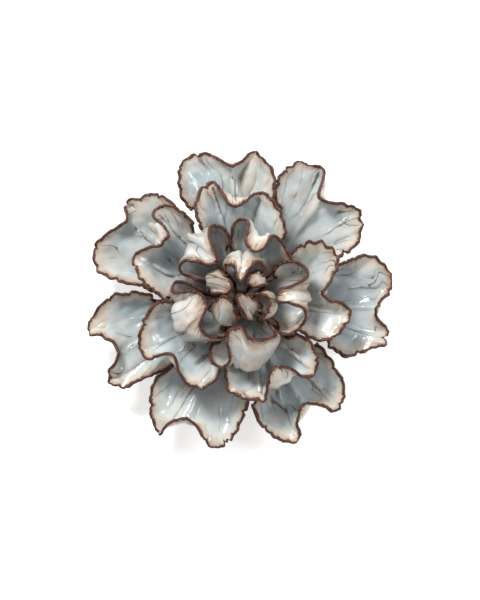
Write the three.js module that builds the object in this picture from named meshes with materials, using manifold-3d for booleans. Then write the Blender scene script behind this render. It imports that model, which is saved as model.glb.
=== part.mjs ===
// A hand-pinched, glazed ceramic flower: rings of two-lobed clay petals on a round clay base.
// Millimetres. Z is up, the flat underside of the base lies on z = 0, and the flower's axis is Z.

import * as THREE from 'three';
import { mergeVertices } from 'three/addons/utils/BufferGeometryUtils.js';
import Module from 'manifold-3d';

const wasm = await Module();
wasm.setup();

// Driving dimensions
const GAP = 0.3; // between pieces that touch
const GAPS = [GAP, 0.15, 0.05]; // neighbours are cut back by each, as a tight curl may leave less
const EDGE_THICKNESS = 1; // at the rim
const ACROSS_STEPS = 14; // facets along a petal's rim
const ALONG_STEPS = 7; // facets from a petal's root to its rim
const BASE_SEGMENTS = 32;
const SMALLEST_FACET = 0.01; // a cut leaves no facets finer than this
const RIM_PROBE = 0.01; // a rim's direction is taken over this share of its length, each way
const PROBE = 0.002; // a petal's slopes are taken over this share of its width and length

// The base: a flat pad with a mound, as [radius, height].
const BASE_PROFILE = [
  [0, 0],
  [26, 0],
  [28, 2],
  [27, 5],
  [22, 8],
  [15, 13],
  [10, 19],
  [5, 27],
  [0, 29],
];

// A ring says how its petals leave the mound: the radius and height of their roots, how wide a root
// is, how steeply the lobes and the ridge between them start, how far the petal keeps to its own
// axis, how far it runs straight from the root as a share of its length, and how wide it curls at
// the rim, where it opens out and where it bends back over itself. Its thickness is at the root.
const RINGS = {
  outer: {
    radius: 22, height: 9.5, width: 15, lobeRise: 2, ridgeRise: 22,
    straight: 0.3, reach: 0.45, openCurl: 12, bentCurl: 16, thickness: 2,
  },
  middle: {
    radius: 14, height: 15.5, width: 13, lobeRise: 18, ridgeRise: 30,
    straight: 0.4, reach: 0.45, openCurl: 12, bentCurl: 20, thickness: 2,
  },
  inner: {
    radius: 9.5, height: 22, width: 11, lobeRise: 30, ridgeRise: 30,
    straight: 1, reach: 0.65, openCurl: 13, bentCurl: 30, thickness: 1.8,
  },
  centre: {
    radius: 3.5, height: 29, width: 5, lobeRise: 45, ridgeRise: 45,
    straight: 1, reach: 0.55, openCurl: 5, bentCurl: 14, thickness: 1.2,
  },
};
const OPEN_LEAN = 70; // up to this lean a rim has the ring's open curl
const BENT_LEAN = 150; // and from this lean on its bent curl
const BENT_ALONG_AXIS = 0.85; // how far a rim that bends back does so along the petal's axis

// Each petal has its axis, in degrees about Z, and its rim, clockwise as seen from above. A rim point
// is [x, y, z, lean]: lean is 0 where the petal runs out flat, 90 where it stands upright, and more
// where it curls back over itself. The point with the greatest lean is the tip of the ridge. A petal
// with a curl of its own bends back wider than its ring.
const PETALS = {
  outer: [
    { axis: 98, rim: [
      [-23, 40, 20, 60], [-28, 49, 21, 50], [-28.5, 60, 20, 35], [-22, 66, 18, 20],
      [-15, 66.5, 17, 20], [-9, 63, 20, 80], [-4, 60, 23, 130], [1, 62.5, 21, 90],
      [5.5, 68.5, 18, 20], [10, 64.5, 18, 30], [15, 58, 20, 50], [15, 48, 21, 60], [13, 40, 20, 60],
    ] },
    { axis: 48, rim: [
      [16, 42, 19, 60], [16, 53, 20, 50], [21, 60, 19, 35], [28, 63, 17, 20], [32, 61, 17, 25],
      [37, 60, 18, 55], [36, 53, 21, 120], [35, 46, 23, 140], [40.5, 43.5, 21, 95],
      [48, 43.5, 19, 45], [54, 41, 18, 30], [55.5, 33, 17, 20], [54, 26, 17, 30],
      [47, 20, 18, 50], [38, 17, 18, 60],
    ] },
    { axis: -4, rim: [
      [42, 14, 19, 60], [50, 19, 20, 50], [60, 19.5, 19, 40], [67, 14, 18, 30], [69, 7, 17, 25],
      [67, 2, 18, 60], [62, -3.5, 22, 125], [62.5, -9, 20, 70], [67, -14, 17, 25],
      [66, -21, 16, 20], [57, -24, 17, 35], [47, -26.5, 18, 50], [39, -22, 18, 60],
    ] },
    { axis: -55, rim: [
      [34, -20, 18, 60], [42, -28, 19, 50], [47, -38, 18, 40], [47, -47, 17, 25],
      [42.5, -52, 16, 20], [36, -49, 18, 60], [30, -46.5, 21, 120], [26, -48.5, 23, 140],
      [25, -56, 20, 105], [27.5, -62, 17, 35], [24, -66, 16, 20], [16, -64, 17, 35],
      [9, -58, 18, 50], [4.5, -48, 18, 60],
    ] },
    { axis: -112, rim: [
      [3, -42, 18, 60], [3, -50, 18, 55], [-1, -60, 17, 35], [-7, -67, 16, 20], [-13, -68, 16, 20],
      [-18, -62.5, 18, 45], [-21, -56.5, 22, 115], [-27, -53.5, 24, 138], [-33.5, -56.5, 21, 120],
      [-37, -62.5, 17, 25], [-41, -54, 18, 30], [-42, -45, 19, 40], [-39, -37, 20, 50],
      [-31, -29, 19, 60],
    ] },
    { axis: -161, rim: [
      [-29, -28, 18, 60], [-36, -33, 18, 55], [-46, -38, 17, 40], [-54, -41, 16, 25],
      [-60, -38, 16, 25], [-60, -32, 19, 50], [-56, -26.5, 22, 120], [-58, -21, 20, 70],
      [-64, -18, 18, 40], [-70.5, -15, 16, 15], [-67, -7, 17, 30], [-60, 1.5, 18, 40],
      [-50, 4, 19, 50], [-40, 1.5, 18, 60],
    ] },
    { axis: 150, rim: [
      [-32, 0, 19, 60], [-45, 5, 19, 50], [-58, 8, 18, 40], [-65.5, 13, 17, 25],
      [-67.5, 20, 16, 20], [-66, 26, 17, 30], [-59, 32, 18, 50], [-52, 35, 22, 115],
      [-53, 40, 19, 55], [-52, 45, 17, 30], [-46, 46.5, 18, 30], [-40, 48.5, 18, 35],
      [-33, 46, 19, 45], [-27, 40, 20, 55], [-23, 34, 20, 60],
    ] },
  ],
  middle: [
    { axis: 90, rim: [
      [-18, 29, 32, 65], [-21, 40, 33, 55], [-19, 49, 31, 40], [-12.5, 53, 29, 30],
      [-9, 47.5, 33, 105], [-4, 41.5, 36, 140], [2, 43.5, 34, 115], [8.5, 48, 30, 40],
      [14, 45, 31, 40], [18.5, 38, 32, 50], [20.5, 30, 32, 60], [19, 23, 31, 65],
    ] },
    { axis: 5, rim: [
      [21, 21, 32, 65], [29, 25.5, 33, 50], [37, 25.5, 31, 40], [43, 20.5, 30, 35],
      [44, 14, 31, 45], [40, 8, 33, 75], [35.5, 3, 35, 125], [40, -0.5, 33, 70],
      [46.5, -2, 31, 45], [50, -7, 29, 30], [46, -14, 29, 35], [39, -18.5, 30, 45],
      [31, -17, 31, 55], [25, -13, 31, 65],
    ] },
    { axis: -66, curl: 28, rim: [
      [24, -15, 31, 65], [31, -19, 32, 50], [35, -26, 31, 40], [33.5, -33, 30, 35],
      [28, -34.5, 31, 90], [21, -30.5, 34, 140], [14, -31, 36, 150], [11.5, -38, 33, 120],
      [11, -46, 30, 35], [3, -45.5, 30, 35], [-4.5, -42, 31, 45], [-7.5, -36, 32, 55],
      [-7, -29, 32, 65],
    ] },
    { axis: -142, rim: [
      [-8, -29, 31, 65], [-11.5, -36.5, 31, 50], [-17.5, -40.5, 30, 35], [-24, -39, 30, 40],
      [-28, -33, 33, 90], [-29.5, -26, 35, 125], [-34.5, -24.5, 33, 95], [-41, -27, 30, 45],
      [-45.5, -24, 29, 30], [-46.5, -17, 30, 35], [-44, -8.5, 31, 40], [-38, -1.5, 32, 50],
      [-30, 0, 31, 65],
    ] },
    { axis: 152, curl: 24, rim: [
      [-34, -1, 31, 60], [-42, 5, 31, 50], [-48, 13, 30, 40], [-48, 20, 30, 35],
      [-42, 23.5, 32, 80], [-35.5, 24, 34, 130], [-31.5, 28.5, 36, 145], [-34.5, 33.5, 34, 130],
      [-39, 37.5, 31, 55], [-36, 42, 31, 40], [-28, 41, 32, 50], [-21, 34, 31, 65],
    ] },
  ],
  inner: [
    { axis: 64, curl: 19, rim: [
      [-4.5, 21, 34, 75], [-5.5, 27, 37, 80], [-3.5, 32.5, 39, 85], [0, 34.5, 40, 95],
      [2.5, 33.5, 42, 100], [2, 27, 44, 130], [3.5, 21.5, 45, 150], [8.5, 21, 44, 155],
      [12, 25, 43, 125], [14.5, 28, 41, 100], [18, 25.5, 39, 85], [21, 21, 37, 80],
      [23, 17, 35, 75],
    ] },
    { axis: -2, curl: 33, rim: [
      [13.5, 11, 33, 70], [17.5, 15.5, 36, 75], [23, 17, 38, 80], [28, 14.5, 39, 90],
      [29.5, 10, 41, 100], [23, 6.5, 43, 122], [16, 4.5, 44, 150], [16, -1, 44, 155],
      [21, -2, 43, 138], [26.5, -4, 42, 112], [29, -7, 40, 100], [27.5, -12, 38, 85],
      [22, -15.5, 36, 80], [16, -14.5, 34, 75],
    ] },
    { axis: -83, curl: 38, rim: [
      [11, -7.5, 36, 75], [13.5, -11, 38, 80], [15, -16, 40, 110], [10, -17.5, 42, 135],
      [4, -16.5, 44, 150], [-0.5, -12, 45, 155], [-6, -15.5, 44, 145], [-5.5, -21, 43, 125],
      [-5, -27, 41, 98], [-8, -30.5, 38, 90], [-12.5, -29, 36, 80], [-14, -23.5, 34, 75],
      [-12.5, -19, 32, 75],
    ] },
    { axis: -157, curl: 35, rim: [
      [-6, -15, 37, 80], [-10, -16.5, 39, 100], [-15, -15, 41, 128], [-17.5, -11, 43, 142],
      [-15.5, -5, 44, 152], [-16, 0.5, 44, 155], [-21, 3.5, 43, 135], [-27, 2.5, 42, 112],
      [-31, 4, 40, 100], [-29, 8, 38, 80], [-23, 7, 37, 75], [-17, 4, 36, 75],
    ] },
    { axis: 138, curl: 37, rim: [
      [-14, 7, 34, 75], [-19, 8, 36, 75], [-24.5, 10, 38, 80], [-27.5, 13, 40, 90],
      [-25.5, 16, 42, 105], [-20, 16, 44, 125], [-13.5, 14.5, 44, 145], [-9.5, 17, 44.5, 155],
      [-11.5, 22, 45, 148], [-13.5, 27, 44, 125], [-13.5, 32.5, 41, 98], [-9, 32.5, 39, 85],
      [-5.5, 30, 38, 80], [-4, 25, 36, 75],
    ] },
  ],
  centre: [
    { axis: 85, curl: 26, rim: [
      [-6, 10, 43, 95], [-7.3, 13.5, 44.5, 105], [-4.5, 15, 46, 130], [-3, 11.5, 46.5, 148],
      [-0.5, 7, 47, 155], [3, 11, 46.5, 148], [5, 15, 46, 130], [8.7, 16, 45, 110],
      [10.8, 13, 44, 100], [9.3, 10, 42.5, 95],
    ] },
    { axis: 22, curl: 9, rim: [
      [9, 12.3, 42, 100], [5, 11.8, 44.5, 125], [2.6, 9.2, 46, 148], [3.6, 6.2, 45.8, 145],
      [7.6, 5.4, 44.5, 125], [12.5, 6.2, 42, 100],
    ] },
    { axis: -10, curl: 16, rim: [
      [4.8, 2.4, 44, 135], [8, 2.4, 45, 132], [11, 1, 45, 128], [12, -2.2, 44, 128],
      [10.5, -6, 43, 125], [9, -8.5, 41, 105],
    ] },
    { axis: -50, curl: 12, rim: [
      [9.5, -4, 40, 100], [6.5, 0, 43.5, 125], [2, 2.6, 45.5, 145], [-2.4, 1.8, 46.5, 152],
      [-1.2, -3, 45.5, 140], [1, -7, 43.5, 120], [3.5, -10.5, 40, 100],
    ] },
    { axis: -105, curl: 27, rim: [
      [0, -9.5, 40, 105], [-2.2, -4.5, 43, 130], [-4.2, -0.2, 45.5, 150], [-6.8, 1.4, 46.5, 155],
      [-9.5, 1, 45.5, 148], [-12.8, -1, 44, 130], [-15, -4.5, 41, 105],
    ] },
    { axis: 165, curl: 25, rim: [
      [-13.5, 1.8, 40, 100], [-9, 2.4, 43.5, 130], [-5, 2.8, 45.5, 148], [-3.6, 5.5, 46.5, 155],
      [-5.2, 9.2, 46, 148], [-7.6, 12.4, 44, 125], [-9.5, 14, 41, 105],
    ] },
  ],
};

const clay = new THREE.MeshStandardMaterial({ color: 0xb9a999, roughness: 0.6, metalness: 0 });
const paleGlaze = new THREE.MeshStandardMaterial({ color: 0xc6cfcf, roughness: 0.25, metalness: 0 });
const warmGlaze = new THREE.MeshStandardMaterial({ color: 0xcbbfb0, roughness: 0.3, metalness: 0 });

const radians = THREE.MathUtils.degToRad;

// A closed mesh from points and triangles, with its faces pointing out.
function bodyOf(points, triangles) {
  const geometry = new THREE.BufferGeometry();
  geometry.setAttribute('position', new THREE.Float32BufferAttribute(points, 3));
  geometry.setIndex(triangles);
  return geometry;
}

function solidOf(geometry) {
  const bare = geometry.clone();
  bare.deleteAttribute('normal');
  bare.deleteAttribute('uv');
  const merged = mergeVertices(bare, 1e-4);
  return new wasm.Manifold(new wasm.Mesh({
    numProp: 3,
    vertProperties: new Float32Array(merged.getAttribute('position').array),
    triVerts: new Uint32Array(merged.getIndex().array),
  }));
}

function geometryOf(solid) {
  const mesh = solid.getMesh();
  return bodyOf(Array.from(mesh.vertProperties), Array.from(mesh.triVerts));
}

// The value of a smooth curve through rows of numbers, at t from 0 to 1.
function alongRows(rows, t) {
  const place = t * (rows.length - 1);
  const i = Math.min(Math.floor(place), rows.length - 2);
  const f = place - i;
  const before = rows[Math.max(i - 1, 0)];
  const after = rows[Math.min(i + 2, rows.length - 1)];
  return rows[i].map((start, k) => {
    const end = rows[i + 1][k];
    const startSlope = (end - before[k]) / 2;
    const endSlope = (after[k] - start) / 2;
    const bend = 3 * (end - start) - 2 * startSlope - endSlope;
    const twist = 2 * (start - end) + startSlope + endSlope;
    return start + f * (startSlope + f * (bend + f * twist));
  });
}

// Where the ridge is along a rim, from 0 to 1.
function ridgePlace(rim) {
  const leans = rim.map((point) => point[3]);
  return leans.indexOf(Math.max(...leans)) / (rim.length - 1);
}

// 1 along the middle of a lobe, 0 at the petal's sides and along its ridge.
function lobeDepth(across, ridge) {
  const inLobe = across < ridge ? across / ridge : (1 - across) / (1 - ridge);
  return Math.sin(Math.PI * inLobe);
}

// A point of a petal's middle surface: a smooth ray from the root to the rim.
function petalPoint(ring, petal, across, along) {
  const axis = radians(petal.axis);
  const rootAngle = axis + (0.5 - across) * (ring.width / ring.radius);
  const root = new THREE.Vector3(
    ring.radius * Math.cos(rootAngle), ring.radius * Math.sin(rootAngle), ring.height);

  const [x, y, z, lean] = alongRows(petal.rim, across);
  const tip = new THREE.Vector3(x, y, z);
  const behind = alongRows(petal.rim, Math.max(across - RIM_PROBE, 0));
  const ahead = alongRows(petal.rim, Math.min(across + RIM_PROBE, 1));
  const outward = new THREE.Vector3(behind[1] - ahead[1], ahead[0] - behind[0], 0).normalize();

  const depth = lobeDepth(across, ridgePlace(petal.rim));
  const rise = radians(THREE.MathUtils.lerp(ring.ridgeRise, ring.lobeRise, depth));
  const start = tip.clone().sub(root).setZ(0).normalize();
  start.x += ring.straight * Math.cos(axis);
  start.y += ring.straight * Math.sin(axis);
  start.normalize().multiplyScalar(Math.cos(rise)).setZ(Math.sin(rise));
  const bent = THREE.MathUtils.smoothstep(lean, OPEN_LEAN, BENT_LEAN);
  outward.lerp(new THREE.Vector3(Math.cos(axis), Math.sin(axis), 0), BENT_ALONG_AXIS * bent).normalize();
  const end = outward.multiplyScalar(Math.cos(radians(lean))).setZ(Math.sin(radians(lean)));

  const startHandle = ring.reach * root.distanceTo(tip);
  const endHandle = THREE.MathUtils.lerp(ring.openCurl, petal.curl ?? ring.bentCurl, bent);
  return new THREE.CubicBezierCurve3(
    root,
    root.clone().addScaledVector(start, startHandle),
    tip.clone().addScaledVector(end, -endHandle),
    tip,
  ).getPoint(along);
}

// A petal as a closed body, its faces moved out by swell so that it can also cut room for itself.
function petalBody(ring, petal, swell) {
  const faces = [[], []];
  for (let i = 0; i <= ACROSS_STEPS; i += 1) {
    for (let j = 0; j <= ALONG_STEPS; j += 1) {
      const across = i / ACROSS_STEPS;
      const along = j / ALONG_STEPS;
      const a = THREE.MathUtils.clamp(across, PROBE, 1 - PROBE);
      const b = THREE.MathUtils.clamp(along, PROBE, 1 - PROBE);
      const alongAcross = petalPoint(ring, petal, a + PROBE, b).sub(petalPoint(ring, petal, a - PROBE, b));
      const alongRay = petalPoint(ring, petal, a, b + PROBE).sub(petalPoint(ring, petal, a, b - PROBE));
      const normal = alongAcross.clone().cross(alongRay).normalize();
      const point = petalPoint(ring, petal, across, along);
      const thickness = THREE.MathUtils.lerp(ring.thickness, EDGE_THICKNESS, along);
      if (j === ALONG_STEPS) point.addScaledVector(alongRay.normalize(), swell);
      if (i === 0) point.addScaledVector(alongAcross.normalize(), -swell);
      if (i === ACROSS_STEPS) point.addScaledVector(alongAcross.normalize(), swell);
      faces[0].push(...point.clone().addScaledVector(normal, thickness / 2 + swell));
      faces[1].push(...point.clone().addScaledVector(normal, -thickness / 2 - swell));
    }
  }

  const row = ALONG_STEPS + 1;
  const back = (ACROSS_STEPS + 1) * row;
  const triangles = [];
  const quad = (a, b, c, d) => triangles.push(a, b, c, a, c, d);
  for (let i = 0; i < ACROSS_STEPS; i += 1) {
    for (let j = 0; j < ALONG_STEPS; j += 1) {
      const corner = i * row + j;
      quad(corner, corner + row, corner + row + 1, corner + 1);
      quad(back + corner, back + corner + 1, back + corner + row + 1, back + corner + row);
    }
    const root = i * row;
    quad(root + row, root, back + root, back + root + row);
    const rim = root + ALONG_STEPS;
    quad(rim, rim + row, back + rim + row, back + rim);
  }
  const last = ACROSS_STEPS * row;
  for (let j = 0; j < ALONG_STEPS; j += 1) {
    quad(j, j + 1, back + j + 1, back + j);
    quad(last + j + 1, last + j, back + last + j, back + last + j + 1);
  }
  return solidOf(bodyOf([...faces[0], ...faces[1]], triangles));
}

function baseBody(swell) {
  const profile = BASE_PROFILE.map(([radius, height], i) => {
    const onAxis = i === 0 || i === BASE_PROFILE.length - 1;
    const lift = height > 0 ? swell : -swell;
    return new THREE.Vector2(onAxis ? 0 : radius + swell, height + lift);
  });
  const lathe = new THREE.LatheGeometry(profile, BASE_SEGMENTS);
  lathe.rotateX(Math.PI / 2);
  return solidOf(lathe);
}

// The largest piece of a cut petal: the crumbs that a neighbour cuts off are dropped.
function largest(solid) {
  const pieces = solid.simplify(SMALLEST_FACET).decompose();
  return pieces.reduce((best, piece) => (piece.volume() > best.volume() ? piece : best));
}

function mesh(name, solid, material) {
  const made = new THREE.Mesh(geometryOf(solid), material);
  made.name = name;
  return made;
}

const flower = new THREE.Group();
flower.name = 'ceramic_flower';
flower.add(mesh('clay_base', baseBody(0), clay));

const placed = [baseBody(GAP)];
for (const ringName of ['centre', 'inner', 'middle', 'outer']) {
  const ring = RINGS[ringName];
  const material = ringName === 'outer' || ringName === 'middle' ? paleGlaze : warmGlaze;
  PETALS[ringName].forEach((petal, i) => {
    const whole = petalBody(ring, petal, 0);
    const solid = largest(placed.reduce((rest, other) => rest.subtract(other), whole));
    GAPS.forEach((gap) => placed.push(petalBody(ring, petal, gap)));
    flower.add(mesh(`${ringName}_petal_${i + 1}`, solid, material.clone()));
  });
}

export default flower;
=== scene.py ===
"""A hand-pinched, glazed ceramic flower, seen from straight above on a pale floor."""

import math
import random

import bpy
import numpy as np
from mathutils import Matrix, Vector


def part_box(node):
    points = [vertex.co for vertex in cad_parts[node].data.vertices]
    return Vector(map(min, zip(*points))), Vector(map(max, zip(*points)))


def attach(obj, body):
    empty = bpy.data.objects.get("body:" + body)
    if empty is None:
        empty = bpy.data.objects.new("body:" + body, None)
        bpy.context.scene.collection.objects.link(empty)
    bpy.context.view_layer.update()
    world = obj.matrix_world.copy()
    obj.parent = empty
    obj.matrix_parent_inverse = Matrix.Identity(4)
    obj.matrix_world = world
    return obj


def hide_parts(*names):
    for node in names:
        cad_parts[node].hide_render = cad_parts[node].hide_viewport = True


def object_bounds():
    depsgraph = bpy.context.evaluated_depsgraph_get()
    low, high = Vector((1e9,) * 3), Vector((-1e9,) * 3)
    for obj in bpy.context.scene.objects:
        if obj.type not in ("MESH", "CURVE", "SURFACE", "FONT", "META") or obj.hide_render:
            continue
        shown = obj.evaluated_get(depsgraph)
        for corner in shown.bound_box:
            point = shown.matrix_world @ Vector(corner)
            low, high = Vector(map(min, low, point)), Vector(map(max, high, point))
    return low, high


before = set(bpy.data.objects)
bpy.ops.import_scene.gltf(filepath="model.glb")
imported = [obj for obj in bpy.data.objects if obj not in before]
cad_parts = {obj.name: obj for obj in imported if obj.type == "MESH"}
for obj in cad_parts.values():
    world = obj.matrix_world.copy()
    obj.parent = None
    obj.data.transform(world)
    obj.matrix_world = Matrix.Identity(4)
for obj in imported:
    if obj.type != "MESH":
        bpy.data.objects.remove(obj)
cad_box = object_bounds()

MM = 0.001

# Facets of a fine petal, along its rim and from its root to its rim.
ACROSS_STEPS = 132
ALONG_STEPS = 44

# Petals, in millimetres
ROOT_THICKNESS = 2.4
RIM_THICKNESS = 1.35
ROUNDING = 0.8  # how far in from the edge the clay is rounded off
NICK_EVERY = 9  # along a rim, on average
RIM_FADE, SIDE_FADE = 2.5, 2  # how far in from an edge its raggedness dies away
SLOPE_STEP = 0.01  # as a share of the rim, to take the rim's direction over
SEED_STEP = 10  # from one petal's seed for random draws to the next's
HOLLOW_STEPS = 5  # how many facets away a point is compared with, to tell how hollowed it is
HOLLOW_GAIN = 0.45

# The clay base, in millimetres
BASE_INSET = 0.3  # keeps the uneven side inside the CAD base
BASE_PUSH = 0.25  # how far the side is pressed in or out
BASE_TURNS = 96  # facets around it
BASE_STEPS = 60  # points along its profile
BASE_SEED = 77

# Lights, in watts, and the shares of white light that the world and the floor give off
KEY_POWER, SIDE_POWER = 14.0, 3.0
WORLD_LIGHT, FLOOR_LIGHT = 0.47, 0.4
FLOOR_HALF = 2.0  # metres

# A ring says how its petals leave the mound: the radius and height of their roots, how wide a root
# is, how steeply the lobes and the ridge between them start, how far the petal keeps to its own
# axis, how far it runs straight from the root as a share of its length, and how wide it curls at
# the rim, where it opens out and where it bends back over itself.
RINGS = {
    "outer": dict(
        radius=22, height=9.5, width=15, lobe_rise=2, ridge_rise=22,
        straight=0.3, reach=0.45, open_curl=12, bent_curl=16,
    ),
    "middle": dict(
        radius=14, height=15.5, width=13, lobe_rise=18, ridge_rise=30,
        straight=0.4, reach=0.45, open_curl=12, bent_curl=20,
    ),
    "inner": dict(
        radius=9.5, height=22, width=11, lobe_rise=30, ridge_rise=30,
        straight=1, reach=0.65, open_curl=13, bent_curl=30,
    ),
    "centre": dict(
        radius=3.5, height=29, width=5, lobe_rise=45, ridge_rise=45,
        straight=1, reach=0.55, open_curl=5, bent_curl=14,
    ),
}
OPEN_LEAN = 70  # up to this lean a rim has the ring's open curl
BENT_LEAN = 150  # and from this lean on its bent curl
BENT_ALONG_AXIS = 0.85  # how far a rim that bends back does so along the petal's axis

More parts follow.
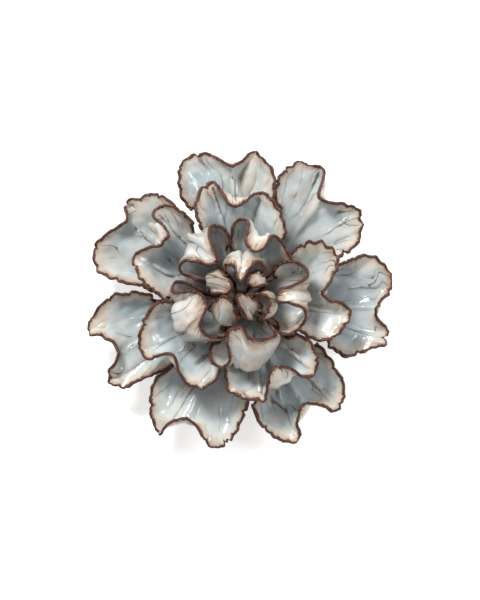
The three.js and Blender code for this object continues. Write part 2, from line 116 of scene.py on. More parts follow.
# Each petal has its axis, in degrees about Z, and its rim, clockwise as seen from above, in
# millimetres. A rim point is [x, y, z, lean]: lean is 0 where the petal runs out flat, 90 where it
# stands upright, and more where it curls back over itself. The point with the greatest lean is the
# tip of the ridge. A petal with a curl of its own bends back by it, not by its ring's.
PETALS = {
    "outer": [
        {"axis": 98, "rim": [
            [-23, 40, 20, 60], [-28, 49, 21, 50], [-28.5, 60, 20, 35], [-22, 66, 18, 20],
            [-15, 66.5, 17, 20], [-9, 63, 20, 80], [-4, 60, 23, 130], [1, 62.5, 21, 90],
            [5.5, 68.5, 18, 20], [10, 64.5, 18, 30], [15, 58, 20, 50], [15, 48, 21, 60], [13, 40, 20, 60],
        ]},
        {"axis": 48, "rim": [
            [16, 42, 19, 60], [16, 53, 20, 50], [21, 60, 19, 35], [28, 63, 17, 20], [32, 61, 17, 25],
            [37, 60, 18, 55], [36, 53, 21, 120], [35, 46, 23, 140], [40.5, 43.5, 21, 95],
            [48, 43.5, 19, 45], [54, 41, 18, 30], [55.5, 33, 17, 20], [54, 26, 17, 30],
            [47, 20, 18, 50], [38, 17, 18, 60],
        ]},
        {"axis": -4, "rim": [
            [42, 14, 19, 60], [50, 19, 20, 50], [60, 19.5, 19, 40], [67, 14, 18, 30], [69, 7, 17, 25],
            [67, 2, 18, 60], [62, -3.5, 22, 125], [62.5, -9, 20, 70], [67, -14, 17, 25],
            [66, -21, 16, 20], [57, -24, 17, 35], [47, -26.5, 18, 50], [39, -22, 18, 60],
        ]},
        {"axis": -55, "rim": [
            [34, -20, 18, 60], [42, -28, 19, 50], [47, -38, 18, 40], [47, -47, 17, 25],
            [42.5, -52, 16, 20], [36, -49, 18, 60], [30, -46.5, 21, 120], [26, -48.5, 23, 140],
            [25, -56, 20, 105], [27.5, -62, 17, 35], [24, -66, 16, 20], [16, -64, 17, 35],
            [9, -58, 18, 50], [4.5, -48, 18, 60],
        ]},
        {"axis": -112, "rim": [
            [3, -42, 18, 60], [3, -50, 18, 55], [-1, -60, 17, 35], [-7, -67, 16, 20], [-13, -68, 16, 20],
            [-18, -62.5, 18, 45], [-21, -56.5, 22, 115], [-27, -53.5, 24, 138], [-33.5, -56.5, 21, 120],
            [-37, -62.5, 17, 25], [-41, -54, 18, 30], [-42, -45, 19, 40], [-39, -37, 20, 50],
            [-31, -29, 19, 60],
        ]},
        {"axis": -161, "rim": [
            [-29, -28, 18, 60], [-36, -33, 18, 55], [-46, -38, 17, 40], [-54, -41, 16, 25],
            [-60, -38, 16, 25], [-60, -32, 19, 50], [-56, -26.5, 22, 120], [-58, -21, 20, 70],
            [-64, -18, 18, 40], [-70.5, -15, 16, 15], [-67, -7, 17, 30], [-60, 1.5, 18, 40],
            [-50, 4, 19, 50], [-40, 1.5, 18, 60],
        ]},
        {"axis": 150, "rim": [
            [-32, 0, 19, 60], [-45, 5, 19, 50], [-58, 8, 18, 40], [-65.5, 13, 17, 25],
            [-67.5, 20, 16, 20], [-66, 26, 17, 30], [-59, 32, 18, 50], [-52, 35, 22, 115],
            [-53, 40, 19, 55], [-52, 45, 17, 30], [-46, 46.5, 18, 30], [-40, 48.5, 18, 35],
            [-33, 46, 19, 45], [-27, 40, 20, 55], [-23, 34, 20, 60],
        ]},
    ],
    "middle": [
        {"axis": 90, "rim": [
            [-18, 29, 32, 65], [-21, 40, 33, 55], [-19, 49, 31, 40], [-12.5, 53, 29, 30],
            [-9, 47.5, 33, 105], [-4, 41.5, 36, 140], [2, 43.5, 34, 115], [8.5, 48, 30, 40],
            [14, 45, 31, 40], [18.5, 38, 32, 50], [20.5, 30, 32, 60], [19, 23, 31, 65],
        ]},
        {"axis": 5, "rim": [
            [21, 21, 32, 65], [29, 25.5, 33, 50], [37, 25.5, 31, 40], [43, 20.5, 30, 35],
            [44, 14, 31, 45], [40, 8, 33, 75], [35.5, 3, 35, 125], [40, -0.5, 33, 70],
            [46.5, -2, 31, 45], [50, -7, 29, 30], [46, -14, 29, 35], [39, -18.5, 30, 45],
            [31, -17, 31, 55], [25, -13, 31, 65],
        ]},
        {"axis": -66, "curl": 28, "rim": [
            [24, -15, 31, 65], [31, -19, 32, 50], [35, -26, 31, 40], [33.5, -33, 30, 35],
            [28, -34.5, 31, 90], [21, -30.5, 34, 140], [14, -31, 36, 150], [11.5, -38, 33, 120],
            [11, -46, 30, 35], [3, -45.5, 30, 35], [-4.5, -42, 31, 45], [-7.5, -36, 32, 55],
            [-7, -29, 32, 65],
        ]},
        {"axis": -142, "rim": [
            [-8, -29, 31, 65], [-11.5, -36.5, 31, 50], [-17.5, -40.5, 30, 35], [-24, -39, 30, 40],
            [-28, -33, 33, 90], [-29.5, -26, 35, 125], [-34.5, -24.5, 33, 95], [-41, -27, 30, 45],
            [-45.5, -24, 29, 30], [-46.5, -17, 30, 35], [-44, -8.5, 31, 40], [-38, -1.5, 32, 50],
            [-30, 0, 31, 65],
        ]},
        {"axis": 152, "curl": 24, "rim": [
            [-34, -1, 31, 60], [-42, 5, 31, 50], [-48, 13, 30, 40], [-48, 20, 30, 35],
            [-42, 23.5, 32, 80], [-35.5, 24, 34, 130], [-31.5, 28.5, 36, 145], [-34.5, 33.5, 34, 130],
            [-39, 37.5, 31, 55], [-36, 42, 31, 40], [-28, 41, 32, 50], [-21, 34, 31, 65],
        ]},
    ],
    "inner": [
        {"axis": 64, "curl": 19, "rim": [
            [-4.5, 21, 34, 75], [-5.5, 27, 37, 80], [-3.5, 32.5, 39, 85], [0, 34.5, 40, 95],
            [2.5, 33.5, 42, 100], [2, 27, 44, 130], [3.5, 21.5, 45, 150], [8.5, 21, 44, 155],
            [12, 25, 43, 125], [14.5, 28, 41, 100], [18, 25.5, 39, 85], [21, 21, 37, 80],
            [23, 17, 35, 75],
        ]},
        {"axis": -2, "curl": 33, "rim": [
            [13.5, 11, 33, 70], [17.5, 15.5, 36, 75], [23, 17, 38, 80], [28, 14.5, 39, 90],
            [29.5, 10, 41, 100], [23, 6.5, 43, 122], [16, 4.5, 44, 150], [16, -1, 44, 155],
            [21, -2, 43, 138], [26.5, -4, 42, 112], [29, -7, 40, 100], [27.5, -12, 38, 85],
            [22, -15.5, 36, 80], [16, -14.5, 34, 75],
        ]},
        {"axis": -83, "curl": 38, "rim": [
            [11, -7.5, 36, 75], [13.5, -11, 38, 80], [15, -16, 40, 110], [10, -17.5, 42, 135],
            [4, -16.5, 44, 150], [-0.5, -12, 45, 155], [-6, -15.5, 44, 145], [-5.5, -21, 43, 125],
            [-5, -27, 41, 98], [-8, -30.5, 38, 90], [-12.5, -29, 36, 80], [-14, -23.5, 34, 75],
            [-12.5, -19, 32, 75],
        ]},
        {"axis": -157, "curl": 35, "rim": [
            [-6, -15, 37, 80], [-10, -16.5, 39, 100], [-15, -15, 41, 128], [-17.5, -11, 43, 142],
            [-15.5, -5, 44, 152], [-16, 0.5, 44, 155], [-21, 3.5, 43, 135], [-27, 2.5, 42, 112],
            [-31, 4, 40, 100], [-29, 8, 38, 80], [-23, 7, 37, 75], [-17, 4, 36, 75],
        ]},
        {"axis": 138, "curl": 37, "rim": [
            [-14, 7, 34, 75], [-19, 8, 36, 75], [-24.5, 10, 38, 80], [-27.5, 13, 40, 90],
            [-25.5, 16, 42, 105], [-20, 16, 44, 125], [-13.5, 14.5, 44, 145], [-9.5, 17, 44.5, 155],
            [-11.5, 22, 45, 148], [-13.5, 27, 44, 125], [-13.5, 32.5, 41, 98], [-9, 32.5, 39, 85],
            [-5.5, 30, 38, 80], [-4, 25, 36, 75],
        ]},
    ],
    "centre": [
        {"axis": 85, "curl": 26, "rim": [
            [-6, 10, 43, 95], [-7.3, 13.5, 44.5, 105], [-4.5, 15, 46, 130], [-3, 11.5, 46.5, 148],
            [-0.5, 7, 47, 155], [3, 11, 46.5, 148], [5, 15, 46, 130], [8.7, 16, 45, 110],
            [10.8, 13, 44, 100], [9.3, 10, 42.5, 95],
        ]},
        {"axis": 22, "curl": 18, "rim": [
            [9, 12.3, 42, 100], [5, 11.8, 44.5, 125], [2.6, 9.2, 46, 148], [3.6, 6.2, 45.8, 145],
            [7.6, 5.4, 44.5, 125], [12.5, 6.2, 42, 100],
        ]},
        {"axis": -10, "curl": 16, "rim": [
            [4.8, 2.4, 44, 135], [8, 2.4, 45, 132], [11, 1, 45, 128], [12, -2.2, 44, 128],
            [10.5, -6, 43, 125], [9, -8.5, 41, 105],
        ]},
        {"axis": -50, "curl": 22, "rim": [
            [9.5, -4, 40, 100], [6.5, 0, 43.5, 125], [2, 2.6, 45.5, 145], [-2.4, 1.8, 46.5, 152],
            [-1.2, -3, 45.5, 140], [1, -7, 43.5, 120], [3.5, -10.5, 40, 100],
        ]},
        {"axis": -105, "curl": 27, "rim": [
            [0, -9.5, 40, 105], [-2.2, -4.5, 43, 130], [-4.2, -0.2, 45.5, 150], [-6.8, 1.4, 46.5, 155],
            [-9.5, 1, 45.5, 148], [-12.8, -1, 44, 130], [-15, -4.5, 41, 105],
        ]},
        {"axis": 165, "curl": 25, "rim": [
            [-13.5, 1.8, 40, 100], [-9, 2.4, 43.5, 130], [-5, 2.8, 45.5, 148], [-3.6, 5.5, 46.5, 155],
            [-5.2, 9.2, 46, 148], [-7.6, 12.4, 44, 125], [-9.5, 14, 41, 105],
        ]},
    ],
}


def rows_at(rows, t):
    """A smooth curve through rows of numbers, at each t from 0 to 1."""
    rows = np.asarray(rows, float)
    place = np.asarray(t) * (len(rows) - 1)
    i = np.minimum(place.astype(int), len(rows) - 2)
    f = (place - i)[:, None]
    start, end = rows[i], rows[i + 1]
    start_slope = (end - rows[np.maximum(i - 1, 0)]) / 2
    end_slope = (rows[np.minimum(i + 2, len(rows) - 1)] - start) / 2
    bend = 3 * (end - start) - 2 * start_slope - end_slope
    twist = 2 * (start - end) + start_slope + end_slope
    return start + f * (start_slope + f * (bend + f * twist))


def unit(vectors):
    return vectors / np.maximum(np.linalg.norm(vectors, axis=-1, keepdims=True), 1e-9)


def wander(values, length, seed, terms=7):
    """Smooth noise between about -1 and 1, at places given in millimetres, with bumps of a length."""
    draw = random.Random(seed)
    total = np.zeros(np.broadcast(*values).shape)
    for _ in range(terms):
        turns = [draw.gauss(0, 1) for _ in values]
        size = math.sqrt(sum(turn * turn for turn in turns)) or 1
        pace = draw.uniform(0.7, 1.4) * 2 * math.pi / length / size
        phase = draw.uniform(0, 2 * math.pi)
        total += np.sin(sum(turn * pace * value for turn, value in zip(turns, values)) + phase)
    return total / math.sqrt(terms)


def middle_surface(ring, petal, across, along):
    """The points of a petal's middle surface, one row of points for each ray from root to rim."""
    axis = math.radians(petal["axis"])
    angle = axis + (0.5 - across) * ring["width"] / ring["radius"]
    height = np.full_like(angle, ring["height"])
    root = np.stack([ring["radius"] * np.cos(angle), ring["radius"] * np.sin(angle), height], -1)

    rim = rows_at(petal["rim"], across)
    tip, lean = rim[:, :3], np.radians(rim[:, 3])
    after = rows_at(petal["rim"], np.minimum(across + SLOPE_STEP, 1))
    before = rows_at(petal["rim"], np.maximum(across - SLOPE_STEP, 0))
    change = after - before
    outward = unit(np.stack([-change[:, 1], change[:, 0], 0 * across], -1))

    leans = [point[3] for point in petal["rim"]]
    ridge = leans.index(max(leans)) / (len(leans) - 1)
    depth = np.sin(np.pi * np.where(across < ridge, across / ridge, (1 - across) / (1 - ridge)))
    rise = np.radians(ring["ridge_rise"] + (ring["lobe_rise"] - ring["ridge_rise"]) * depth)
    start = (tip - root) * (1, 1, 0)
    along_axis = np.array([math.cos(axis), math.sin(axis), 0])
    start = unit(start) + ring["straight"] * along_axis
    start = unit(start) * np.cos(rise)[:, None]
    start[:, 2] = np.sin(rise)
    bent = np.clip((rim[:, 3:] - OPEN_LEAN) / (BENT_LEAN - OPEN_LEAN), 0, 1)
    bent = bent * bent * (3 - 2 * bent)
    outward = unit(outward + (along_axis - outward) * BENT_ALONG_AXIS * bent)
    end = outward * np.cos(lean)[:, None]
    end[:, 2] = np.sin(lean)

    reach = ring["reach"] * np.linalg.norm(tip - root, axis=1)[:, None]
    curl = ring["open_curl"] + (petal.get("curl", ring["bent_curl"]) - ring["open_curl"]) * bent
    a, b, c, d = root, root + start * reach, tip - end * curl, tip
    t = along[None, :, None]
    a, b, c, d = (corner[:, None, :] for corner in (a, b, c, d))
    return (1 - t) ** 3 * a + 3 * (1 - t) ** 2 * t * b + 3 * (1 - t) * t**2 * c + t**3 * d


def run_lengths(points, axis):
    """How far each point is along its line of points."""
    steps = np.linalg.norm(np.diff(points, axis=axis), axis=-1)
    total = np.cumsum(steps, axis=axis)
    pad = [(0, 0), (0, 0)]
    pad[axis] = (1, 0)
    return np.pad(total, pad)


def normals_of(points):
    return unit(np.cross(np.gradient(points, axis=0), np.gradient(points, axis=1)))


def petal_piece(name, ring_name, petal, seed, material):
    ring = RINGS[ring_name]
    s = np.linspace(0, 1, ACROSS_STEPS + 1)
    across = (s + (0.5 - 0.5 * np.cos(np.pi * s))) / 2
    along = 1 - (1 - np.linspace(0, 1, ALONG_STEPS + 1)) ** 1.7
    points = middle_surface(ring, petal, across, along)

    # A torn, uneven edge
    rim_run = run_lengths(points, 0)[:, -1]
    ragged = 0.35 * wander([rim_run], 7, seed) + 0.14 * wander([rim_run], 2.7, seed + 1)
    ragged += 0.06 * wander([rim_run], 1.1, seed + 2, 11)
    draw = random.Random(seed)
    for _ in range(int(rim_run[-1] / NICK_EVERY)):
        place = draw.uniform(0, rim_run[-1])
        width, cut = draw.uniform(0.3, 0.9), draw.uniform(0.3, 1.5)
        ragged -= cut * np.exp(-(((rim_run - place) / width) ** 2))
    rayward = unit(points[:, -1] - points[:, -3])
    to_rim = run_lengths(points, 1)
    to_rim = to_rim[:, -1:] - to_rim
    points = points + (rayward * ragged[:, None])[:, None] * np.exp(-to_rim / RIM_FADE)[..., None]
    side_run = run_lengths(points, 1)
    for side, inner in ((0, 2), (-1, -3)):
        outward = unit(points[side] - points[inner])
        rough = 0.3 * wander([side_run[side]], 5, seed + 3 + side)
        from_side = np.linalg.norm(points - points[side][None], axis=-1)
        points = points + (outward * rough[:, None])[None] * np.exp(-from_side / SIDE_FADE)[..., None]

    # Thumb dents and finer unevenness
    x, y, z = (points[..., k] for k in range(3))
    normals = normals_of(points)
    dents = 0.6 * wander([x, y, z], 18, seed + 5) + 0.16 * wander([x, y, z], 6, seed + 6)
    points = points + normals * dents[..., None]
    normals = normals_of(points)

    # Distance to the nearest edge
    ray_run = run_lengths(points, 1)
    cross_run = run_lengths(points, 0)
    rim_distance = ray_run[:, -1:] - ray_run
    side_distance = np.minimum(cross_run, cross_run[-1:] - cross_run)
    edge = np.minimum(rim_distance, side_distance)

    # How much the surface is hollowed towards its front, over a few millimetres; there the glaze is bluer
    # where it pools and darker, partly as painted shade
    steps = HOLLOW_STEPS
    spread = np.pad(points, ((steps, steps), (steps, steps), (0, 0)), mode="edge")
    around = (
        spread[2 * steps :, steps:-steps]
        + spread[: -2 * steps, steps:-steps]
        + spread[steps:-steps, 2 * steps :]
        + spread[steps:-steps, : -2 * steps]
    ) / 4 - points
    hollow = np.tanh((around * normals).sum(-1) * HOLLOW_GAIN)
    # depth runs from 1 at the root to 0 at the rim; the glaze darkens with it as painted shade deep in
    # the flower
    depth = np.broadcast_to(1 - along[None], edge.shape)

    thickness = ROOT_THICKNESS + (RIM_THICKNESS - ROOT_THICKNESS) * along[None] ** 0.7
    rounded = 1 - np.clip(edge / ROUNDING, 0, 1)
    half = thickness / 2 * np.sqrt(1 - rounded**2.6)
    front = points + normals * half[..., None]
    back = points - normals * half[..., None]

    # The two faces share their outline.
    rows, columns = front.shape[:2]
    count = rows * columns
    index = np.arange(count).reshape(rows, columns)
    border = np.zeros((rows, columns), bool)
    border[0], border[-1], border[:, 0], border[:, -1] = True, True, True, True
    back_index = np.where(border, index, 0)
    back_index[~border] = count + np.arange((~border).sum())
    vertices = np.concatenate([front.reshape(-1, 3), back[~border]]) * MM
    low, high = cad_box
    vertices = np.clip(vertices, list(low), list(high))  # keeps the fine mesh inside the CAD box

    def faces(grid):
        corners = [grid[:-1, :-1], grid[1:, :-1], grid[1:, 1:], grid[:-1, 1:]]
        return np.stack(corners, -1).reshape(-1, 4)

    quads = np.concatenate([faces(index), faces(back_index)[:, ::-1]])

    mesh = bpy.data.meshes.new(name)
    mesh.vertices.add(len(vertices))
    mesh.vertices.foreach_set("co", vertices.astype(np.float32).ravel())
    mesh.loops.add(quads.size)
    mesh.loops.foreach_set("vertex_index", quads.astype(np.int32).ravel())
    mesh.polygons.add(len(quads))
    mesh.polygons.foreach_set("loop_start", np.arange(0, quads.size, 4, dtype=np.int32))
    mesh.polygons.foreach_set("use_smooth", np.ones(len(quads), bool))
    mesh.update()
    mesh.validate()

    def attribute(label, front_values, back_values):
        values = np.concatenate([front_values.ravel(), back_values[~border]])
        made = mesh.attributes.new(label, "FLOAT", "POINT")
        made.data.foreach_set("value", values.astype(np.float32))

    attribute("edge", edge, edge)
    attribute("hollow", hollow, -hollow)
    attribute("depth", depth, depth)
    attribute("back", np.zeros_like(edge), np.ones_like(edge))
    centre_run = cross_run - cross_run[-1:] / 2
    attribute("across_run", centre_run + seed * 37, centre_run + seed * 37 + 11)
    attribute("along_run", ray_run + seed * 13, ray_run + seed * 13 + 5)

    piece = bpy.data.objects.new(name, mesh)
    bpy.context.scene.collection.objects.link(piece)
    mesh.materials.append(material)
    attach(piece, "root")
    return piece


def linear(code):
    """A colour's linear values from its web code."""
    channels = [int(code[k : k + 2], 16) / 255 for k in (1, 3, 5)]
    return [c / 12.92 if c <= 0.04045 else ((c + 0.055) / 1.055) ** 2.4 for c in channels] + [1.0]


class Nodes:
    """Short calls for building one material's nodes."""

    def __init__(self, name):
        self.material = bpy.data.materials.new(name)
        self.material.use_nodes = True
        self.tree = self.material.node_tree
        self.shader = self.tree.nodes["Principled BSDF"]

    def make(self, kind, settings=(), **inputs):
        node = self.tree.nodes.new(kind)
        for key, value in dict(settings).items():
            setattr(node, key, value)
        for key, value in inputs.items():
            self.feed(node.inputs[key.replace("_", " ")], value)
        return node

    def feed(self, socket, value):
        if isinstance(value, bpy.types.NodeSocket):
            self.tree.links.new(value, socket)
        else:
            socket.default_value = value

    def sum(self, operation, *values):
        node = self.tree.nodes.new("ShaderNodeMath")
        node.operation = operation
        for socket, value in zip(node.inputs, values):
            self.feed(socket, value)
        return node.outputs[0]

    def step(self, value, low, high):
        """0 below low and 1 above high, with a smooth rise between; turned round if low is more."""
        ends = dict(To_Min=1.0, To_Max=0.0) if low > high else dict(To_Min=0.0, To_Max=1.0)
        ends.update(From_Min=min(low, high), From_Max=max(low, high))
        settings = {"interpolation_type": "SMOOTHSTEP"}
        node = self.make("ShaderNodeMapRange", settings, Value=value, **ends)
        return node.outputs["Result"]

    def mix(self, amount, first, second):
        node = self.tree.nodes.new("ShaderNodeMix")
        node.data_type = "RGBA"
        self.feed(node.inputs[0], amount)
        self.feed(node.inputs[6], first)
        self.feed(node.inputs[7], second)
        return node.outputs[2]

    def attribute(self, name):
        node = self.make("ShaderNodeAttribute", {"attribute_name": name})
        return node.outputs["Fac"]

    def place(self):
        """Object coordinates in millimetres."""
        coordinates = self.tree.nodes.new("ShaderNodeTexCoord").outputs["Object"]
        node = self.make("ShaderNodeVectorMath", {"operation": "SCALE"}, Vector=coordinates, Scale=1 / MM)
        return node.outputs["Vector"]

    def stretched(self, across, along):
        """Coordinates that run with the petal, each scaled."""
        node = self.make(
            "ShaderNodeCombineXYZ",
            X=self.sum("MULTIPLY", self.attribute("across_run"), across),
            Y=self.sum("MULTIPLY", self.attribute("along_run"), along),
        )
        return node.outputs[0]

    def noise(self, vector, scale, detail=2.0, roughness=0.5):
        node = self.make(
            "ShaderNodeTexNoise", Vector=vector, Scale=scale, Detail=detail, Roughness=roughness
        )
        return node.outputs["Fac"]

    def cells(self, vector, scale):
        """Distance to the nearest seed, and a random number for its cell."""
        node = self.make("ShaderNodeTexVoronoi", Vector=vector, Scale=scale)
        split = self.make("ShaderNodeSeparateColor", Color=node.outputs["Color"])
        return node.outputs["Distance"], split.outputs[0]


def glaze(name, pool_and_shade_colour, body, cream, warm_share, comb_length):
    """Glossy glaze: bluer and darker where it pools in the hollows, partly as painted shade, darker deep
    in the flower as painted shade, cream where thin, streaked and edged rust brown.
    """
    n = Nodes(name)
    place = n.place()
    edge = n.attribute("edge")
    hollow = n.attribute("hollow")
    back = n.attribute("back")
    depth = n.attribute("depth")

    # Body colour: blue-grey in the bowls, partly pooled glaze and partly painted shade, cream towards
    # edges and over what stands proud
    broad = n.noise(place, 0.05, 2.0)
    mottle = n.noise(place, 0.28, 4.0, 0.6)
    pool_and_shade_amount = n.sum("ADD", n.sum("MULTIPLY", hollow, 0.6), n.sum("MULTIPLY_ADD", broad, 3.2, -1.35))
    pool_and_shade_amount = n.sum("ADD", pool_and_shade_amount, n.sum("MULTIPLY", n.step(edge, 3.0, 12.0), 0.5))
    colour = n.mix(n.step(pool_and_shade_amount, 0.0, 1.3), linear(body), linear(pool_and_shade_colour))
    drift = n.noise(n.stretched(0.09, 0.03), 1.0, 2.0, 0.55)
    thin = n.sum("MULTIPLY_ADD", drift, 2.4, -1.2)
    thin = n.sum("ADD", thin, n.sum("MULTIPLY_ADD", mottle, 1.2, -0.6))
    # Less cream in the hollows: partly thicker glaze there, partly painted shade
    thin = n.sum("SUBTRACT", thin, n.sum("MULTIPLY", hollow, 0.45))
    thin = n.sum("ADD", thin, n.sum("MULTIPLY", n.step(edge, 9.0, 0.5), 0.85))
    thin = n.sum("ADD", thin, n.sum("MULTIPLY", back, 0.35))
    thin = n.sum("ADD", thin, warm_share)
    colour = n.mix(n.sum("MULTIPLY", n.step(thin, 0.0, 1.2), 0.9), colour, linear(cream))

    # Painted shade: deep in the flower, towards the petals' roots, the glaze is darker where shade falls
    colour = n.mix(n.sum("MULTIPLY", n.step(depth, 0.3, 0.9), 0.7), colour, linear("#5f696c"))

    # Smoky drifts and thin dark veins that run along the petal
    flow = n.noise(n.stretched(0.11, 0.02), 1.0, 1.0, 0.4)
    off_line = n.sum("ABSOLUTE", n.sum("SUBTRACT", flow, 0.5))
    where = n.step(n.noise(place, 0.075, 1.0), 0.44, 0.6)
    width = n.sum("MULTIPLY_ADD", n.noise(place, 0.5, 2.0), 0.022, -0.003)
    veins = n.sum("MULTIPLY", n.step(n.sum("DIVIDE", off_line, width), 1.1, 0.5), where)
    smoke = n.sum("MULTIPLY", n.step(off_line, 0.1, 0.0), where)
    colour = n.mix(n.sum("MULTIPLY", smoke, 0.32), colour, linear("#7f7771"))
    colour = n.mix(n.sum("MULTIPLY", veins, 0.75), colour, linear("#4b382d"))

    # Dark pits in clusters
    distance, chance = n.cells(place, 0.9)
    pits = n.sum("MULTIPLY", n.step(distance, 0.2, 0.08), n.step(chance, 0.8, 0.84))
    pits = n.sum("MULTIPLY", pits, n.step(n.noise(place, 0.13, 1.0), 0.55, 0.62))
    colour = n.mix(n.sum("MULTIPLY", pits, 0.8), colour, linear("#33302f"))

    # The glaze thins to tan near the edge, and comb-like streaks run in from it, longer on the back
    comb = n.noise(n.stretched(1.5, 0.1), 1.0, 2.5, 0.7)
    tan_reach = n.sum("MULTIPLY_ADD", n.noise(place, 0.16, 2.0), 9.0, -1.5)
    tan = n.step(n.sum("DIVIDE", edge, n.sum("MAXIMUM", tan_reach, 0.3)), 1.2, 0.15)
    colour = n.mix(n.sum("MULTIPLY", tan, 0.6), colour, linear("#9a7860"))
    length = n.sum("MULTIPLY_ADD", back, comb_length, 2.2)
    run_in = n.sum("MULTIPLY", n.step(comb, 0.45, 0.8), length)
    streak = n.step(n.sum("SUBTRACT", edge, run_in), 1.2, 0.3)
    colour = n.mix(n.sum("MULTIPLY", streak, 0.8), colour, linear("#4f2e1e"))

    # Bare rust-brown edge, now wide and now narrow, broken here and there by a run of glaze
    rough_edge = n.sum("MULTIPLY_ADD", n.noise(place, 0.3, 4.0, 0.65), 4.4, -2.3)
    bare = n.step(n.sum("ADD", edge, rough_edge), 1.25, 0.75)
    breaks = n.step(n.noise(n.stretched(0.45, 0.0), 1.0, 2.0, 0.6), 0.66, 0.7)
    bare = n.sum("MULTIPLY", bare, n.sum("MULTIPLY_ADD", breaks, -0.85, 1.0))
    rust = n.mix(n.step(n.noise(place, 0.8, 3.0, 0.6), 0.35, 0.65), linear("#260e07"), linear("#5e2b15"))
    colour = n.mix(bare, colour, rust)
    n.feed(n.shader.inputs["Base Color"], colour)

    glossy = n.sum("MULTIPLY_ADD", mottle, 0.12, 0.1)
    n.feed(n.shader.inputs["Roughness"], n.sum("ADD", glossy, n.sum("MULTIPLY", bare, 0.22)))

    relief = n.sum("MULTIPLY", n.noise(place, 0.45, 3.0), 0.7)
    grit = n.sum("MULTIPLY", n.noise(place, 2.6, 3.0), n.sum("MULTIPLY_ADD", bare, 0.8, 0.04))
    relief = n.sum("ADD", relief, grit)
    relief = n.sum("SUBTRACT", relief, n.sum("MULTIPLY", pits, 0.6))
    relief = n.sum("SUBTRACT", relief, n.sum("MULTIPLY", veins, 0.2))
    relief = n.sum("SUBTRACT", relief, n.sum("MULTIPLY", streak, 0.12))
    bump = n.make("ShaderNodeBump", Strength=0.6, Distance=0.5 * MM, Height=relief)
    n.feed(n.shader.inputs["Normal"], bump.outputs["Normal"])
    return n.material


def fired_clay(name):
    n = Nodes(name)
    place = n.place()
    tone = n.noise(place, 0.12, 4.0, 0.6)
    colour = n.mix(tone, linear("#8a6a50"), linear("#b99c80"))
    distance, chance = n.cells(place, 0.9)
    specks = n.sum("MULTIPLY", n.step(distance, 0.3, 0.15), n.step(chance, 0.8, 0.85))
    colour = n.mix(specks, colour, linear("#4a3226"))
    n.feed(n.shader.inputs["Base Color"], colour)
    n.feed(n.shader.inputs["Roughness"], n.sum("MULTIPLY_ADD", tone, 0.25, 0.55))
    relief = n.sum("ADD", n.noise(place, 0.8, 4.0), n.sum("MULTIPLY", n.noise(place, 3.0, 2.0), 0.5))
    bump = n.make("ShaderNodeBump", Strength=0.7, Distance=0.5 * MM, Height=relief)
    n.feed(n.shader.inputs["Normal"], bump.outputs["Normal"])
    return n.material


def base_piece(material):
    """The clay pad and mound, with its rim pressed uneven by hand and its underside flat."""
    low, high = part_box("clay_base")
    radius = (high.x - low.x) / 2 / MM
    top = high.z / MM
    profile = [
        (0, 0), (0.5, 0), (0.9, 0), (0.965, 0.02), (1.0, 0.07), (0.985, 0.13), (0.96, 0.17),
        (0.79, 0.27), (0.54, 0.44), (0.36, 0.65), (0.18, 0.92), (0, 1.0),
    ]
    ring = np.clip(rows_at(profile, np.linspace(0, 1, BASE_STEPS)), 0, 1)[1:-1]
    turns = BASE_TURNS
    angle = np.arange(turns) * 2 * np.pi / turns
    r = ring[:, 0][:, None] * (radius - BASE_INSET)
    z = np.broadcast_to(ring[:, 1][:, None] * top, (len(ring), turns))
    x, y = r * np.cos(angle), r * np.sin(angle)
    push = BASE_PUSH * wander([x, y, z], 9, BASE_SEED) * (z > 0.01)
    x = x + push * np.cos(angle) - BASE_PUSH * np.cos(angle)
    y = y + push * np.sin(angle) - BASE_PUSH * np.sin(angle)
    points = np.stack([x, y, z], -1).reshape(-1, 3)
    vertices = np.concatenate([points, [[0, 0, 0], [0, 0, top]]]) * MM
    faces = []
    last = len(ring) - 1
    for i in range(last):
        for j in range(turns):
            k = (j + 1) % turns
            faces.append((i * turns + j, i * turns + k, (i + 1) * turns + k, (i + 1) * turns + j))
    bottom, peak = len(points), len(points) + 1
    for j in range(turns):
        k = (j + 1) % turns
        faces.append((bottom, k, j))
        faces.append((peak, last * turns + j, last * turns + k))
    mesh = bpy.data.meshes.new("clay_base_fine")
    mesh.from_pydata(vertices.tolist(), [], faces)
    mesh.update()
    for polygon in mesh.polygons:
        polygon.use_smooth = True
    mesh.materials.append(material)
    piece = bpy.data.objects.new("clay_base_fine", mesh)
    bpy.context.scene.collection.objects.link(piece)
    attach(piece, "root")
    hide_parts("clay_base")


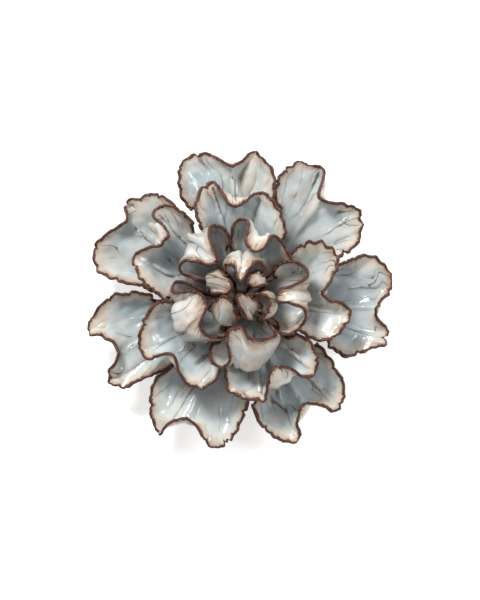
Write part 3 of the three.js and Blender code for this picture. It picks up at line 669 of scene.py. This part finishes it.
def build_flower():
    pale = glaze("pale_glaze", "#a6b2b6", "#c7cbc7", "#c7b9a8", 0.1, 3.0)
    warm = glaze("warm_glaze", "#abb5b8", "#dad8d2", "#b09b86", -0.05, 6.0)
    base_piece(fired_clay("fired_clay"))
    seed = 0
    for ring_name, petals in PETALS.items():
        outside = ring_name in ("outer", "middle")
        slot, material = ("pale_glaze", pale) if outside else ("warm_glaze", warm)
        for i, petal in enumerate(petals):
            seed += SEED_STEP
            node = f"{ring_name}_petal_{i + 1}"
            piece = petal_piece(f"{node}_fine", ring_name, petal, seed, material)
            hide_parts(node)


def area_light(name, place, size, power):
    data = bpy.data.lights.new(name, "AREA")
    data.shape = "RECTANGLE"
    data.size, data.size_y = size
    data.energy = power
    light = bpy.data.objects.new(name, data)
    light.location = place
    light.rotation_euler = (-Vector(place)).to_track_quat("-Z", "Y").to_euler()
    bpy.context.scene.collection.objects.link(light)


def set_stage():
    scene = bpy.context.scene
    scene.view_settings.view_transform = "Standard"
    world = bpy.data.worlds.new("studio")
    world.use_nodes = True
    background = world.node_tree.nodes["Background"]
    background.inputs["Color"].default_value = (1, 1, 1, 1)
    background.inputs["Strength"].default_value = WORLD_LIGHT
    scene.world = world

    area_light("key", (-0.4, 0.7, 0.8), (0.3, 0.25), KEY_POWER)
    area_light("side", (0.7, 0.05, 0.6), (0.2, 0.3), SIDE_POWER)

    mesh = bpy.data.meshes.new("floor")
    half = FLOOR_HALF
    corners = [(-half, -half, 0), (half, -half, 0), (half, half, 0), (-half, half, 0)]
    mesh.from_pydata(corners, [], [(0, 1, 2, 3)])
    floor = bpy.data.objects.new("floor", mesh)
    n = Nodes("pale_floor")
    n.shader.inputs["Base Color"].default_value = (0.93, 0.93, 0.93, 1)
    n.shader.inputs["Roughness"].default_value = 0.9
    n.shader.inputs["Specular IOR Level"].default_value = 0.1
    n.shader.inputs["Emission Color"].default_value = (1, 1, 1, 1)
    n.shader.inputs["Emission Strength"].default_value = FLOOR_LIGHT
    mesh.materials.append(n.material)
    scene.collection.objects.link(floor)

    lens, sensor = 135.0, 36.0
    picture_height = 0.2727  # at the height of the outer petals
    camera = bpy.data.cameras.new("camera")
    camera.lens = lens
    camera.sensor_width = sensor
    viewer = bpy.data.objects.new("camera", camera)
    viewer.location = (-0.00045, -0.00045, 0.019 + picture_height * lens / sensor)
    scene.collection.objects.link(viewer)
    scene.camera = viewer


build_flower()
set_stage()
